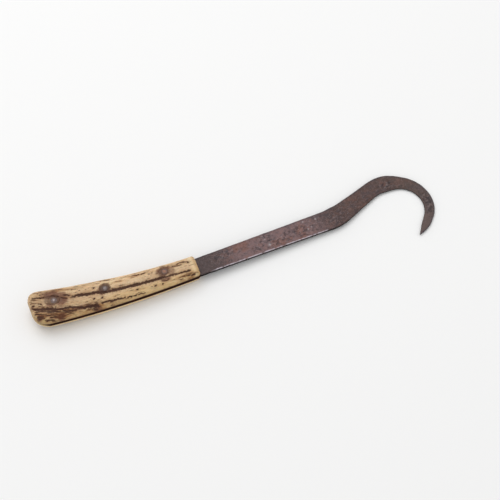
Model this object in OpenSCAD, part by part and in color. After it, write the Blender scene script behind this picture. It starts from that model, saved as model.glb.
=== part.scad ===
// Pruning hook: one forged iron blade held between two scales of stag antler by three rivets.
// Inside the functions the tool lies flat: the shank runs along +X from the front end of the
// handle at x = 0, the spine faces +Y, the hook turns down to -Y and z = 0 is the middle of the
// iron. The module resting() then sets the tool down as it lies on a table, on the worn flat of the
// back scale and the end of the hook, with the origin under the middle of its box.

/* [Blade outline] */
// Length of the straight shank, from the handle to the bend
shank_len = 100; // [80:1:140]
// Radius of the bend where the neck lifts off the line of the shank
bend_r = 53; // [20:1:80]
// Angle of the bend
bend_angle = 19; // [10:1:30]
// Length of the straight neck behind the hook
neck_len = 25.5; // [15:0.5:45]
// Radius of the crown, the first and widest curve of the hook
crown_r = 30; // [24:0.5:40]
// Angle of the crown
crown_angle = 52.5; // [35:0.5:60]
// Radius of the tight curve at the far side of the hook
side_r = 21.7; // [17:0.1:26]
// Angle of the tight curve
side_angle = 97.5; // [80:0.5:110]
// Radius of the last, nearly straight stretch to the point
point_r = 63; // [40:1:100]
// Angle of the last stretch
point_angle = 16.5; // [10:0.5:22]

/* [Blade widths] */
// Width of the shank where it leaves the handle
shank_w = 14; // [12:0.1:15]
// Width at the front end of the shank
shank_front_w = 15.9; // [13:0.1:18]
// Width in the middle of the bend, at the heel of the cutting edge
heel_w = 16.5; // [13:0.1:19]
// Width where the bend meets the neck
neck_back_w = 15.3; // [12:0.1:18]
// Width at the front end of the neck
neck_w = 12.9; // [10:0.1:14]
// Width in the middle of the crown
crown_w = 13.4; // [10:0.1:15]
// Width where the crown meets the tight curve
side_w = 10; // [8:0.1:12]
// Width where the point begins
point_w = 6.9; // [5:0.1:8]
// Width halfway along the point
point_mid_w = 5.5; // [3:0.1:6]
// Width left at the very tip
tip_w = 0.6; // [0.4:0.1:1.5]

/* [Blade thickness] */
// Thickness of the iron where it leaves the handle
shank_t = 2.8; // [2.2:0.1:4]
// Thickness at the bend
bend_t = 2.5; // [2:0.1:3.5]
// Thickness where the crown meets the tight curve
hook_t = 2; // [1.6:0.1:3]
// Thickness at the tip
tip_t = 0.8; // [0.6:0.1:1.4]
// Thickness of the tang at the butt
tang_butt_t = 2.1; // [1.6:0.1:3.5]
// Width of the worn corners along the shank and the back of the hook
arris = 0.5; // [0.2:0.05:0.7]
// Width of the ground bevel on each face of the cutting edge
bevel_w = 2.4; // [1:0.1:3.5]
// Thickness of the iron at the cutting edge
edge_t = 0.3; // [0.2:0.05:0.6]

/* [Handle] */
// Length of the scales
handle_len = 118; // [105:1:135]
// Radius of the gentle curve of the handle towards the spine side
handle_curve_r = 600; // [450:10:1200]
// How far the middle line of the handle lies from that of the shank, towards the spine
handle_shift = 0.4; // [0:0.1:0.6]
// Width of the scales at their front end
front_w = 16; // [15.6:0.1:18]
// Width of the scales at the butt, before its corners are rounded
butt_w = 27.7; // [22:0.1:32]
// How late the handle widens: 1 is a straight taper
widening = 1.3; // [1:0.05:1.6]
// Corner radius of the butt on the spine side
butt_spine_r = 9; // [4:0.5:10]
// Corner radius of the butt on the near side
butt_near_r = 10.5; // [3:0.5:12]
// Corner radius of the front end on the spine side
front_spine_r = 1.2; // [0.5:0.1:3]
// Corner radius of the front end on the near side
front_near_r = 2.6; // [0.5:0.1:3]
// How far the edge of the tang lies inside the edge of the scales
tang_inset = 0.6; // [0.3:0.1:1.2]

/* [Scales] */
// Thickness of the front scale at its front end
front_scale_t = 5.6; // [4.5:0.1:7]
// Thickness of the front scale at its belly
front_belly_t = 6.8; // [5:0.1:9]
// Thickness of the front scale at the butt
front_scale_butt_t = 6.6; // [5:0.1:9]
// Distance from the front end of the handle to the belly of the front scale
belly_x = 48; // [35:1:65]
// Thickness of the back scale at its front end
back_scale_t = 4.2; // [4:0.1:5]
// Thickness of the back scale at the front of its worn flat
back_worn_t = 5.5; // [5.2:0.1:7]
// Thickness of the back scale at the butt
back_scale_butt_t = 5; // [4.6:0.1:6]
// Distance from the front end of the handle to the front of the worn flat
worn_from = 28; // [20:1:40]
// Distance from the front end of the handle to the back of the worn flat
worn_to = 70; // [55:1:80]
// Height of the upright side of a scale below its rounded shoulder
flank_h = 1.6; // [0.8:0.1:2.2]
// Half width of the flat along the front scale, as a share of its half width
front_flat = 0.36; // [0.2:0.02:0.6]
// Half width of the flat along the back scale, as a share of its half width
back_flat = 0.58; // [0.4:0.02:0.7]
// How far the flat of the back scale is hollow between its edges, as a share of its height
back_hollow = 0.015; // [0.005:0.005:0.03]
// Radius of the rounded front edge of a scale, seen from the side
front_nose_r = 1.8; // [0.8:0.1:2.4]
// Radius of the rounded butt edge of a scale, seen from the side
butt_nose_r = 3.4; // [1:0.1:4]
// Depth of the furrows of the antler
furrow_depth = 0.55; // [0.2:0.05:0.8]
// Width of the furrows of the antler
furrow_w = 2; // [1.4:0.1:3]

/* [Rivets] */
// Diameter of a rivet
rivet_d = 3; // [2.5:0.1:4]
// Diameter of the domed head of a rivet
head_d = 4.6; // [4.2:0.1:6]
// Height of the domed head
head_h = 0.7; // [0.4:0.1:0.9]
// Radius left between a rivet and its bore
rivet_clearance = 0.05; // [0.02:0.01:0.1]
// Depth of the dished hollow that a head lies in
dish_depth = 0.9; // [0.5:0.1:1.2]
// Diameter of the dished hollow
dish_d = 8; // [7:0.1:10]
// Distance from the front end of the handle to the front rivet
front_rivet_x = 23.5; // [15:0.5:35]
// Distance from the front end of the handle to the middle rivet
middle_rivet_x = 66; // [50:0.5:80]
// Distance from the butt to the butt rivet
butt_rivet_x = 17; // [14:0.5:25]
// Distance of the rivets from the middle line of the handle, towards the spine
rivet_offset = 1.6; // [0:0.1:2.5]

/* [Hidden] */
$fn = 48;

// Colours
IRON = [0.34, 0.28, 0.27];
RIVET_IRON = [0.42, 0.38, 0.36];
ANTLER = [0.80, 0.70, 0.55];

// Even steps along each stretch of the blade and the handle
TANG_STEP = 4;
SHANK_STEPS = 10;
BEND_STEPS = 8;
NECK_STEPS = 10;
CROWN_STEPS = 16;
SIDE_STEPS = 36;
POINT_STEPS = 14;
FRONT_STEP = 1.7;
BACK_STEP = 6;
WORN_STEP = 14;
CORNER_STEPS = 8;
FRONT_SHOULDER_STEPS = 8;
BACK_SHOULDER_STEPS = 5;
TOP_STEPS = 13;

// Gap across which the tang grows from the width of the shank to that of the handle
TANG_BLEND = 8;

// Natural furrows, each [from, to] as shares of the handle's length from the front end, then its
// place across the scale at those two ends, as shares of the half width with + at the spine
FRONT_FURROWS = [[0.17, 0.80, -0.41, 0.13], [0.05, 0.16, -0.50, -0.43], [0.58, 0.99, -0.70, -0.16],
                 [0.88, 0.98, 0.33, 0.48], [0.06, 0.17, 0.44, 0.52], [0.35, 0.55, 0.80, 0.76],
                 [0.36, 0.52, -0.76, -0.72]];
BACK_FURROWS = [[0.20, 0.64, 0.30, 0.22], [0.28, 0.97, -0.26, -0.36], [0.66, 0.98, 0.66, 0.30],
                [0.04, 0.24, -0.72, -0.66]];

// Small helpers
function ramp(t) = let (u = max(0, min(1, t))) u * u * (3 - 2 * u);
function arc_len(r, angle) = r * angle * PI / 180;
function column(rows, i) = [for (row = rows) row[i]];

// Smooth curve through rows of [place, value]
function slope_at(rows, i) =
    let (a = rows[max(i - 1, 0)], b = rows[min(i + 1, len(rows) - 1)]) (b[1] - a[1]) / (b[0] - a[0]);
function row_below(rows, t) = max([for (i = [0:len(rows) - 2]) if (i == 0 || t >= rows[i][0]) i]);
function smooth(rows, t) =
    let (i = row_below(rows, t), a = rows[i], b = rows[i + 1], d = b[0] - a[0], u = (t - a[0]) / d)
    a[1] * (2 * u ^ 3 - 3 * u ^ 2 + 1) + slope_at(rows, i) * d * (u ^ 3 - 2 * u ^ 2 + u)
    + b[1] * (3 * u ^ 2 - 2 * u ^ 3) + slope_at(rows, i + 1) * d * (u ^ 3 - u ^ 2);

// How much a corner of radius r takes off an edge at the distance d from the end
function corner_drop(d, r) = d >= r ? 0 : r - sqrt(max(0, r * r - (r - d) * (r - d)));

// Handle outline, at x from -handle_len at the butt to 0 at the front end
function handle_y(x) = handle_shift + x * x / (2 * handle_curve_r);
function handle_half_w(x) = (front_w + (butt_w - front_w) * (-x / handle_len) ^ widening) / 2;
function spine_y(x) = handle_y(x) + handle_half_w(x)
    - corner_drop(x + handle_len, butt_spine_r) - corner_drop(-x, front_spine_r);
function near_y(x) = handle_y(x) - handle_half_w(x)
    + corner_drop(x + handle_len, butt_near_r) + corner_drop(-x, front_near_r);

// Centre line of the blade: [length, turn] of each stretch, with left turns positive
STRETCHES = [[shank_len, 0], [arc_len(bend_r, bend_angle), bend_angle], [neck_len, 0],
             [arc_len(crown_r, crown_angle), -crown_angle], [arc_len(side_r, side_angle), -side_angle],
             [arc_len(point_r, point_angle), -point_angle]];
STEPS = [SHANK_STEPS, BEND_STEPS, NECK_STEPS, CROWN_STEPS, SIDE_STEPS, POINT_STEPS];

// A place on the centre line is [x, y, heading, distance from the handle]
function along(place, stretch, f) =
    let (a = place[2], b = a + f * stretch[1], run = f * stretch[0], s = place[3] + run)
    stretch[1] == 0
        ? [place[0] + run * cos(a), place[1] + run * sin(a), a, s]
        : let (r = stretch[0] / (stretch[1] * PI / 180))
          [place[0] + r * (sin(b) - sin(a)), place[1] + r * (cos(a) - cos(b)), b, s];
function start_of(i) = i == 0 ? [0, 0, 0, 0] : along(start_of(i - 1), STRETCHES[i - 1], 1);
BLADE_PLACES = concat([start_of(0)],
    [for (i = [0:len(STRETCHES) - 1]) let (start = start_of(i))
        for (k = [1:STEPS[i]]) along(start, STRETCHES[i], k / STEPS[i])]);
BEND_S = start_of(1)[3];
NECK_S = start_of(2)[3];
CROWN_S = start_of(3)[3];
SIDE_S = start_of(4)[3];
POINT_S = start_of(5)[3];
TIP_S = start_of(6)[3];

// Sizes of the blade at the distance s from the handle
WIDTHS = [[0, shank_w], [BEND_S, shank_front_w], [(BEND_S + NECK_S) / 2, heel_w],
          [NECK_S, neck_back_w], [CROWN_S, neck_w], [(CROWN_S + SIDE_S) / 2, crown_w],
          [SIDE_S, side_w], [POINT_S, point_w], [(POINT_S + TIP_S) / 2, point_mid_w], [TIP_S, tip_w]];
THICKNESSES = [[0, shank_t], [BEND_S, bend_t], [SIDE_S, hook_t], [TIP_S, tip_t]];
function blade_w(s) = smooth(WIDTHS, s);
function blade_t(s) = lookup(s, THICKNESSES);
function ground(s) = ramp((s - BEND_S) / (CROWN_S - BEND_S));
function bevel_at(s) = min(arris + (bevel_w - arris) * ground(s), 0.45 * blade_w(s));
function edge_at(s) = (blade_t(s) - 2 * arris) * (1 - ground(s)) + min(edge_t, blade_t(s) / 2) * ground(s);

// Sizes of the tang at x: it tapers to the butt and follows the scales inside their edge
function tang_t(x) = shank_t + (tang_butt_t - shank_t) * -x / handle_len;
function tang_spine_y(x) = let (f = ramp(-x / TANG_BLEND), e = max(x - tang_inset, -handle_len))
    (1 - f) * shank_w / 2 + f * (spine_y(e) - tang_inset);
function tang_near_y(x) = let (f = ramp(-x / TANG_BLEND), e = max(x - tang_inset, -handle_len))
    -(1 - f) * shank_w / 2 + f * (near_y(e) + tang_inset);

// One ring of the blade in its own plane: [across, up], with the cutting edge at -across
function section(w, t, corner, bevel, edge) = let (h = t / 2, c = min(corner, w / 4, h / 2)) [
    [w / 2, c - h], [w / 2, h - c], [w / 2 - c, h], [bevel - w / 2, h],
    [-w / 2, edge / 2], [-w / 2, -edge / 2], [bevel - w / 2, -h], [w / 2 - c, -h]];
function blade_ring(place) = let (s = place[3], a = place[2])
    [for (p = section(blade_w(s), blade_t(s), arris, bevel_at(s), edge_at(s)))
        [place[0] - p[0] * sin(a), place[1] + p[0] * cos(a), p[1]]];
function tang_ring(x) = let (y1 = tang_spine_y(x), y0 = tang_near_y(x), t = tang_t(x))
    [for (p = section(y1 - y0, t, arris, arris, t - 2 * arris)) [x, (y1 + y0) / 2 + p[0], p[1]]];

// Places along the handle, closer together round its corners
function corner_places(r) = [for (k = [0:CORNER_STEPS - 1]) r * (1 - cos(90 * k / CORNER_STEPS))];
function even_places(from, to, step) = let (n = ceil((to - from) / step))
    [for (k = [0:n]) from + (to - from) * k / n];
TANG_BUTT = -handle_len + tang_inset;
TANG_XS = concat([for (d = corner_places(butt_spine_r)) TANG_BUTT + d],
                 even_places(TANG_BUTT + butt_spine_r, -TANG_BLEND, TANG_STEP),
                 [for (k = [1:3]) -TANG_BLEND * (1 - k / 4)]);
BUTT_XS = [for (d = corner_places(butt_spine_r)) d - handle_len];
NOSE_XS = [for (k = [CORNER_STEPS / 2 - 1:-1:0]) -front_near_r * (1 - cos(180 * k / CORNER_STEPS))];
function after(xs) = [for (i = [1:len(xs) - 1]) xs[i]];
FRONT_XS = concat(BUTT_XS, even_places(butt_spine_r - handle_len, -front_near_r, FRONT_STEP), NOSE_XS);
BACK_XS = concat(BUTT_XS, even_places(butt_spine_r - handle_len, -worn_to, BACK_STEP),
                 after(even_places(-worn_to, -worn_from, WORN_STEP)),
                 after(even_places(-worn_from, -front_near_r, BACK_STEP)), NOSE_XS);
BLADE_RINGS = concat([for (x = TANG_XS) tang_ring(x)], [for (place = BLADE_PLACES) blade_ring(place)]);

// Resting pose: the tool leans on the front of the worn flat and on the outer edge of the hook.
// Each point is [x, depth under the middle of the iron].
WORN_FRONT = [-worn_from, tang_t(-worn_from) / 2 + back_worn_t];
HOOK_EDGE = [for (place = BLADE_PLACES) let (s = place[3]) if (s > CROWN_S)
    [place[0] - (blade_w(s) / 2 - arris) * sin(place[2]), blade_t(s) / 2]];
REST_TILT = min([for (h = HOOK_EDGE) atan2(WORN_FRONT[1] - h[1], h[0] - WORN_FRONT[0])]);

// Thickness of each scale at x. The worn flat of the back scale lies in the plane of the table.
function worn_t(x) = WORN_FRONT[1] - (x - WORN_FRONT[0]) * tan(REST_TILT) - tang_t(x) / 2;
FRONT_SWELL = [[-handle_len, front_scale_butt_t], [-belly_x, front_belly_t], [0, front_scale_t]];
BACK_SWELL = [[-handle_len, back_scale_butt_t], [-worn_to, worn_t(-worn_to)],
              [-worn_from, back_worn_t], [0, back_scale_t]];
function rounding(x) = corner_drop(x + handle_len, butt_nose_r) + corner_drop(-x, front_nose_r);
function front_t(x) = smooth(FRONT_SWELL, x) - rounding(x);
function back_t(x) = lookup(x, BACK_SWELL) - rounding(x);

// One scale, lying on z = 0 with its rounded side up
function furrow(f, share, across, half_w) =
    let (u = (share - f[0]) / (f[1] - f[0]), mid = (f[2] + (f[3] - f[2]) * u) * half_w,
         off = (across - mid) / (furrow_w / 2))
    u <= 0 || u >= 1 ? 0 : furrow_depth * ramp(6 * u) * ramp(6 * (1 - u)) * exp(-off * off);
function furrows(rows, x, across, half_w) =
    let (depths = [for (f = rows) furrow(f, -x / handle_len, across, half_w)]) max(depths);
// Points over one scale from the spine side to the near side, as shares of the half width across
// and of the height from the flank to the flat
function over(flat, hollow, steps) =
    let (shoulder = [for (k = [0:steps - 1]) let (a = 90 * k / steps) [flat + (1 - flat) * cos(a), sin(a)]],
         top = [for (k = [0:TOP_STEPS - 1]) let (u = 1 - 2 * k / (TOP_STEPS - 1))
            [flat * u, 1 - hollow * (1 - u * u)]])
    concat(shoulder, top, [for (k = [steps - 1:-1:0]) [-shoulder[k][0], shoulder[k][1]]]);
function scale_ring(x, t, shares, rows) =
    let (y1 = spine_y(x), y0 = near_y(x), half_w = (y1 - y0) / 2, mid = (y1 + y0) / 2,
         flank = min(flank_h, t / 2), foot = tang_t(x) / 2)
    concat([[x, y1, foot]],
           [for (p = shares) let (across = p[0] * half_w, dip = furrows(rows, x, across, half_w))
               [x, mid + across, foot + flank + (t - flank - dip) * p[1]]],
           [[x, y0, foot]]);
FRONT_SHARES = over(front_flat, 0, FRONT_SHOULDER_STEPS);
BACK_SHARES = over(back_flat, back_hollow, BACK_SHOULDER_STEPS);
FRONT_RINGS = [for (x = FRONT_XS) scale_ring(x, front_t(x), FRONT_SHARES, FRONT_FURROWS)];
BACK_RINGS = [for (x = BACK_XS) scale_ring(x, back_t(x), BACK_SHARES, BACK_FURROWS)];

// Skin over a row of rings with the same number of points, closed at both ends
module skin(rings) {
    n = len(rings[0]);
    last = (len(rings) - 1) * n;
    sides = [for (i = [0:len(rings) - 2]) for (j = [0:n - 1])
        let (a = i * n + j, b = i * n + (j + 1) % n) each [[a + n, b + n, b], [a + n, b, a]]];
    caps = [[for (j = [0:n - 1]) j], [for (j = [n - 1:-1:0]) last + j]];
    polyhedron([for (ring = rings) each ring], concat(sides, caps), convexity = 10);
}

// The whole tool at rest, and the middle of its box
function tilted(p) = [p[0] * cos(REST_TILT) + p[2] * sin(REST_TILT), p[1],
                      p[2] * cos(REST_TILT) - p[0] * sin(REST_TILT)];
ALL_POINTS = concat([for (ring = BLADE_RINGS) each [for (p = ring) tilted(p)]],
                    [for (ring = FRONT_RINGS) each [for (p = ring) tilted(p)]],
                    [for (ring = BACK_RINGS) each [for (p = ring) tilted([p[0], p[1], -p[2]])]]);
XS = column(ALL_POINTS, 0);
YS = column(ALL_POINTS, 1);
BASE = [(min(XS) + max(XS)) / 2, (min(YS) + max(YS)) / 2, min(column(ALL_POINTS, 2))];
module resting() translate(-BASE) rotate([0, REST_TILT, 0]) children();

// Places of the rivets, and the heights of the scales there
RIVET_XS = [butt_rivet_x - handle_len, -middle_rivet_x, -front_rivet_x];
function rivet_y(x) = handle_y(x) + rivet_offset;
function front_seat(x) = tang_t(x) / 2 + front_t(x) - dish_depth;
function back_seat(x) = tang_t(x) / 2 + back_t(x) - dish_depth;

// Bores for the rivets through the iron and both scales
module rivet_bores() {
    reach = shank_t + front_belly_t + worn_t(-worn_to);
    for (x = RIVET_XS)
        translate([x, rivet_y(x), -reach]) cylinder(h = 2 * reach, d = rivet_d + 2 * rivet_clearance);
}

// Dished hollow, with a flat seat for the head at z = 0 and a curved wall up to the surface
module dish() {
    seat_r = head_d / 2 + rivet_clearance;
    wall = [for (k = [0:5]) let (a = 15 * k)
        [seat_r + (dish_d / 2 - seat_r) * sin(a), dish_depth * (1 - cos(a))]];
    rotate_extrude()
        polygon(concat([[0, 0]], wall, [[dish_d / 2, 3 * dish_depth], [0, 3 * dish_depth]]));
}

// One rivet, turned about its own axis: a shank with a domed head seated in each hollow
module rivet(x) {
    dome_r = (head_d * head_d / 4 + head_h * head_h) / (2 * head_h);
    rise = asin(head_d / 2 / dome_r);
    dome = [for (k = [0:8]) let (a = rise * k / 8) [dome_r * sin(a), head_h - dome_r * (1 - cos(a))]];
    upper = concat([for (p = dome) [p[0], front_seat(x) + p[1]]], [[rivet_d / 2, front_seat(x)]]);
    lower = concat([for (p = dome) [p[0], -back_seat(x) - p[1]]], [[rivet_d / 2, -back_seat(x)]]);
    resting() color(RIVET_IRON) translate([x, rivet_y(x), 0]) rotate_extrude()
        polygon(concat(upper, [for (k = [len(lower) - 1:-1:0]) lower[k]]));
}

module blade() {
    resting() color(IRON) difference() {
        skin(BLADE_RINGS);
        rivet_bores();
    }
}

module front_scale() {
    resting() color(ANTLER) difference() {
        skin(FRONT_RINGS);
        rivet_bores();
        for (x = RIVET_XS) translate([x, rivet_y(x), front_seat(x)]) dish();
    }
}

module back_scale() {
    resting() color(ANTLER) difference() {
        mirror([0, 0, 1]) skin(BACK_RINGS);
        rivet_bores();
        for (x = RIVET_XS) translate([x, rivet_y(x), -back_seat(x)]) mirror([0, 0, 1]) dish();
    }
}

module butt_rivet() rivet(RIVET_XS[0]);
module middle_rivet() rivet(RIVET_XS[1]);
module front_rivet() rivet(RIVET_XS[2]);

blade();
front_scale();
back_scale();
butt_rivet();
middle_rivet();
front_rivet();
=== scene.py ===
# %% [markdown]
# # An old pruning hook
# A flat forged iron blade ends in a tight crescent, sharpened on its inner side. Two gently curved
# scales of stag antler are riveted on either side of its tang. The tool lies on a pale table. We
# start from the measured solids, keep their places, and dress them: the iron gets its pits and worn
# corners, the antler its furrows, stains and rust, and each finish is built from nodes.

# %% Load the measured solids
import math
import bpy
import numpy as np
from mathutils import Matrix, Vector, noise


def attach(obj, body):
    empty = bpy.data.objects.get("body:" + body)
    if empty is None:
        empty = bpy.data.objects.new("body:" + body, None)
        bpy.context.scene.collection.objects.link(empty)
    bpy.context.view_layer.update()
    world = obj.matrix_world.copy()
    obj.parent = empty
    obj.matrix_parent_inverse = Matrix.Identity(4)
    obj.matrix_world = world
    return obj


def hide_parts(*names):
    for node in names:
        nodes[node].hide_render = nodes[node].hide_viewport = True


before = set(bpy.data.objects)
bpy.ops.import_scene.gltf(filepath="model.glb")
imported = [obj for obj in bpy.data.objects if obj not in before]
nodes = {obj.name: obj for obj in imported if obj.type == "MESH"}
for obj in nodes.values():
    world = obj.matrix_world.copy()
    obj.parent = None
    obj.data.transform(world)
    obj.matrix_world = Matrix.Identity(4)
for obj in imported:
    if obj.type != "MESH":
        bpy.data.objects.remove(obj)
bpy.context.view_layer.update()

print("measured solids:", ", ".join(sorted(nodes)))

# %% [markdown]
# ## One flat frame to work in
# It is easiest to shape a tool lying flat and straight: the shank along X from the front end of the
# handle, the spine towards +Y, and the middle of the iron at z = 0. At rest it leans a little, on
# the worn flat of the back scale and the end of the hook. One matrix takes a finished piece from
# the flat frame to its rest, and its inverse brings a copy of a solid back to be worked on.

# %% The flat frame and the rest
MM = 0.001
REST_TILT = math.radians(1.64577)
# the point of the tilted frame that becomes the origin
BASE = Vector((31.6928, -6.35466, -6.01192)) * MM
REST = Matrix.Translation(-BASE) @ Matrix.Rotation(REST_TILT, 4, "Y")


def only(obj):
    """Deselect everything else and make obj the active one."""
    bpy.ops.object.select_all(action="DESELECT")
    obj.select_set(True)
    bpy.context.view_layer.objects.active = obj


def place(obj, matrix):
    """Move a mesh by a matrix and write the move into the mesh."""
    only(obj)
    obj.matrix_world = matrix
    bpy.ops.object.transform_apply(location=True, rotation=True, scale=True)


print(f"at rest the tool leans by {math.degrees(REST_TILT):.2f} degrees")

# %% [markdown]
# ## Numbers on the vertices
# Every mark on this tool, from a pit to a stain, is one number for each vertex. Weights painted by
# hand would do as well, but numbers that follow from a few named places are easy to change later.
# A script works them out for a whole mesh at once, a modifier can carve by them, and a material can
# read them by name.

# %% Read and write numbers on the vertices
def points(obj):
    """All vertex positions as rows of x, y, z in millimetres."""
    flat = np.empty(3 * len(obj.data.vertices))
    obj.data.vertices.foreach_get("co", flat)
    return flat.reshape(-1, 3) / MM


def move_points(obj, rows):
    """Move every vertex to its row of x, y, z in millimetres."""
    obj.data.vertices.foreach_set("co", (np.asarray(rows) * MM).ravel())
    obj.data.update()


def note(obj, name, values):
    """Store one number for each vertex, for a later step or for a material to read."""
    kept = obj.data.attributes.get(name) or obj.data.attributes.new(name, "FLOAT", "POINT")
    kept.data.foreach_set("value", np.asarray(values, dtype=np.float32))


def noted(obj, name):
    """The numbers that note() stored."""
    values = np.empty(len(obj.data.vertices), dtype=np.float32)
    obj.data.attributes[name].data.foreach_get("value", values)
    return values


def mask(obj, name, values):
    """A note that stays between 0 and 1."""
    note(obj, name, np.clip(values, 0.0, 1.0))


def note_place(obj, name, rows):
    """Store one place for each vertex in metres, for a noise texture to follow."""
    kept = obj.data.attributes.new(name, "FLOAT_VECTOR", "POINT")
    kept.data.foreach_set("vector", (np.asarray(rows) * MM).astype(np.float32).ravel())


# %% [markdown]
# ## Welding and setting down
# A wrapped sheet or a copied solid can have doubled vertices where its faces meet, and a modifier
# would tear it apart there, so they are merged first. A finished piece gets smooth shading and is
# set down at rest. Nothing on this tool moves, so every piece rides on the same body.

# %% Weld a mesh and finish a piece
def weld(obj, close=False):
    """Merge vertices that meet, and close open ends if asked to."""
    only(obj)
    bpy.ops.object.mode_set(mode="EDIT")
    bpy.ops.mesh.select_all(action="SELECT")
    bpy.ops.mesh.remove_doubles(threshold=1e-6)
    if close:
        bpy.ops.mesh.fill_holes(sides=0)
        bpy.ops.mesh.normals_make_consistent(inside=False)
    bpy.ops.object.mode_set(mode="OBJECT")


def finish_mesh(obj, angle):
    """Smooth shading below an angle in degrees, and the finished piece set down at rest."""
    only(obj)
    bpy.ops.object.shade_smooth_by_angle(angle=math.radians(angle))
    place(obj, REST)
    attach(obj, "root")
    tris = sum(len(face.vertices) - 2 for face in obj.data.polygons)
    print(f"{obj.name}: {len(obj.data.vertices)} vertices, {tris} triangles")


# %% [markdown]
# ## Noise, ramps and strokes
# Old surfaces are never even. Three small tools give every mark on this object: a smooth step from
# 0 to 1, a fractal noise that can be stretched along the tool, and the distance from each vertex to
# a stroke drawn through a few points, as a gouge or a brush would follow it.

# %% Tools for marks
def step(lo, hi, x):
    """0 at lo, 1 at hi and smooth between them. lo may be the larger of the two."""
    t = np.clip((np.asarray(x, dtype=float) - lo) / (hi - lo), 0.0, 1.0)
    return t * t * (3 - 2 * t)


def grain(rows, size, seed, octaves=3):
    """Fractal noise from about -1 to 1. size is the length of one bump along x, y and z, in mm."""
    scaled = np.asarray(rows) / np.asarray(size, dtype=float) + seed * 17.3
    return np.array([noise.fractal(p, 0.9, 2.0, octaves) for p in scaled])


def stroke(rows, path):
    """Distance in mm from each point to a path, seen from above, and how far along it: 0 to 1."""
    path = np.asarray(path, dtype=float)
    flat = rows[:, :2]
    best = np.full(len(flat), 1e9)
    where = np.zeros(len(flat))
    runs = np.linalg.norm(np.diff(path, axis=0), axis=1)
    total = runs.sum()
    for k, run in enumerate(runs):
        way = (path[k + 1] - path[k]) / run
        t = np.clip((flat - path[k]) @ way, 0.0, run)
        off = np.linalg.norm(flat - path[k] - t[:, None] * way, axis=1)
        nearer = off < best
        best[nearer] = off[nearer]
        where[nearer] = (runs[:k].sum() + t[nearer]) / total
    return best, where


# %% [markdown]
# ## The blade
# The blade was forged from one flat bar: a straight shank, a bend where the neck lifts away, and a
# crescent that is ground thin on its inner side. In Blender a bar of this kind is a sheet wrapped
# round its section: one grid is laid along the centre line, and each of its rows becomes one section
# of the bar. Its lengths, radii and widths are the same named values that the measured solids use,
# so the blade stays exactly as long and as wide as they are.

# %% Centre line of the blade
# shank, bend, neck, crown, side and point, each as (length or radius in mm, turn in degrees)
STRETCHES = [(100, 0), (53, 19), (25.5, 0), (30, -52.5), (21.7, -97.5), (63, -16.5)]


def stretch_length(size, turn):
    """Length of a straight stretch, or of an arc with size as its radius."""
    return math.radians(abs(turn)) * size if turn else size


def centre_line(step_mm):
    """Rows of x, y, heading and distance along the iron, about step_mm apart."""
    x = y = s = heading = 0.0
    rows = [(x, y, heading, s)]
    for size, turn in STRETCHES:
        length = stretch_length(size, turn)
        count = math.ceil(length / step_mm)
        for k in range(1, count + 1):
            run = length * k / count
            if turn:
                radius = math.copysign(size, turn)
                there = heading + run / radius
                rows.append((x + radius * (math.sin(there) - math.sin(heading)),
                             y + radius * (math.cos(heading) - math.cos(there)), there, s + run))
            else:
                rows.append((x + run * math.cos(heading), y + run * math.sin(heading),
                             heading, s + run))
        x, y, heading, s = rows[-1]
    return np.array(rows)


LINE = centre_line(0.45)
# where each next stretch starts, as a distance along the iron, and where the iron ends
BEND_S, NECK_S, CROWN_S, SIDE_S, POINT_S, TIP_S = np.cumsum([stretch_length(*s) for s in STRETCHES])
print(f"iron in front of the handle: {TIP_S:.1f} mm, tip at {LINE[-1, 0]:.1f}, {LINE[-1, 1]:.1f}")

# %% [markdown]
# The bar swells a little towards the bend and tapers from the crown to the point, and it gets
# thinner all the way. A smooth curve through a few known widths gives the swell without steps.

# %% Width and thickness along the blade
WIDTHS = [(0, 14), (BEND_S, 15.9), ((BEND_S + NECK_S) / 2, 16.5), (NECK_S, 15.3), (CROWN_S, 12.9),
          ((CROWN_S + SIDE_S) / 2, 13.4), (SIDE_S, 10), (POINT_S, 6.9), ((POINT_S + TIP_S) / 2, 5.5),
          (TIP_S, 0.6)]
SHANK_T, TANG_BUTT_T = 2.8, 2.1
THICKNESSES = [(0, SHANK_T), (BEND_S, 2.5), (SIDE_S, 2), (TIP_S, 0.8)]


def smooth_curve(knots, at):
    """A smooth curve through the knots, with the slope at each taken from its neighbours."""
    x, y = np.array(knots, dtype=float).T
    low, high = np.maximum(np.arange(len(x)) - 1, 0), np.minimum(np.arange(len(x)) + 1, len(x) - 1)
    slope = (y[high] - y[low]) / (x[high] - x[low])
    i = np.clip(np.searchsorted(x, at, side="right") - 1, 0, len(x) - 2)
    d = x[i + 1] - x[i]
    u = (at - x[i]) / d
    return (y[i] * (2 * u**3 - 3 * u**2 + 1) + slope[i] * d * (u**3 - 2 * u**2 + u)
            + y[i + 1] * (3 * u**2 - 2 * u**3) + slope[i + 1] * d * (u**3 - u**2))


print("widest at the bend:", round(float(smooth_curve(WIDTHS, (BEND_S + NECK_S) / 2)), 1), "mm")

# %% [markdown]
# The handle curves towards the spine side on its way to the butt, grows wider and has four round
# corners. The tang inside it and the shading of the antler both follow this outline.

# %% Outline of the handle
HANDLE_LEN, HANDLE_CURVE_R, HANDLE_SHIFT = 118, 600, 0.4
FRONT_W, BUTT_W, WIDENING = 16, 27.7, 1.3
FRONT_SPINE_R, FRONT_NEAR_R = 1.2, 2.6
BUTT_SPINE_R, BUTT_NEAR_R = 9, 10.5


def corner_drop(along, radius):
    """How far a round corner falls back at a distance along from the end."""
    inward = np.maximum(0, radius * radius - (radius - along) ** 2)
    return np.where(along >= radius, 0, radius - np.sqrt(inward))


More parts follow.
